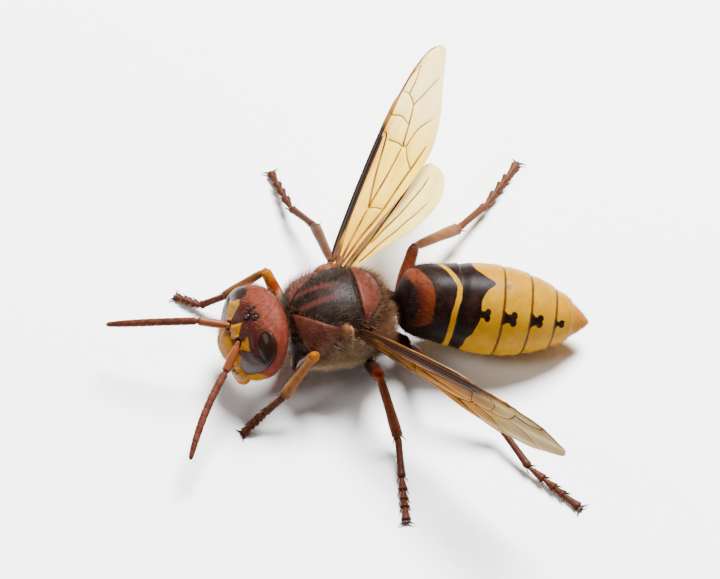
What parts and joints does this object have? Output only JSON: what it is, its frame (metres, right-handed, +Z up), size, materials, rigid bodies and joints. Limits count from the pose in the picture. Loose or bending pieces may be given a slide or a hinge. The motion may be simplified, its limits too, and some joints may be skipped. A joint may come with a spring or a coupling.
{
  "type": "hornet",
  "caption": "European hornet, life size, standing with one wing spread and the other folded on edge, as a museum shows one.",
  "frame": {"origin": "middle of the bounding box at floor level, under the thorax", "axes": "+Z up from the floor, -Y the way the face looks, +X the insect's own left"},
  "size_m": [0.0376, 0.0344, 0.0102],
  "materials": {
    "head_skin": "satin, finely pitted chitin",
    "thorax_skin": "satin chitin under short fuzz",
    "dark_skin": "satin chitin",
    "yellow_skin": "satin chitin with black marks",
    "leg": "satin chitin",
    "feeler": "satin chitin",
    "jaw": "satin chitin",
    "eye": "glossy, finely faceted",
    "wing": "clear amber membrane with raised veins"
  },
  "bodies": {
    "root": {"head": "head_skin", "eye_left": "eye", "eye_right": "eye", "mandible_left": "jaw", "mandible_right": "jaw", "scape_left": "leg", "scape_right": "leg", "flagellum_left": "feeler", "flagellum_right": "feeler", "prothorax": "thorax_skin", "mesothorax": "thorax_skin", "metathorax": "thorax_skin", "tegula_left": "leg", "tegula_right": "leg", "abdomen_1": "dark_skin", "abdomen_2": "yellow_skin", "abdomen_3": "yellow_skin", "abdomen_4": "yellow_skin", "abdomen_5": "yellow_skin", "abdomen_6": "yellow_skin", "coxa_fore_left": "dark_skin", "femur_fore_left": "thorax_skin", "tibia_fore_left": "leg", "tarsus_fore_left": "feeler", "coxa_fore_right": "dark_skin", "femur_fore_right": "thorax_skin", "tibia_fore_right": "leg", "tarsus_fore_right": "feeler", "coxa_mid_left": "dark_skin", "femur_mid_left": "thorax_skin", "tibia_mid_left": "leg", "tarsus_mid_left": "feeler", "coxa_mid_right": "dark_skin", "femur_mid_right": "thorax_skin", "tibia_mid_right": "leg", "tarsus_mid_right": "feeler", "coxa_hind_left": "dark_skin", "femur_hind_left": "thorax_skin", "tibia_hind_left": "leg", "tarsus_hind_left": "feeler", "coxa_hind_right": "dark_skin", "femur_hind_right": "thorax_skin", "tibia_hind_right": "leg", "tarsus_hind_right": "feeler", "forewing_left": "wing", "hindwing_left": "wing", "forewing_right": "wing", "hindwing_right": "wing"}
  },
  "joints": []
}
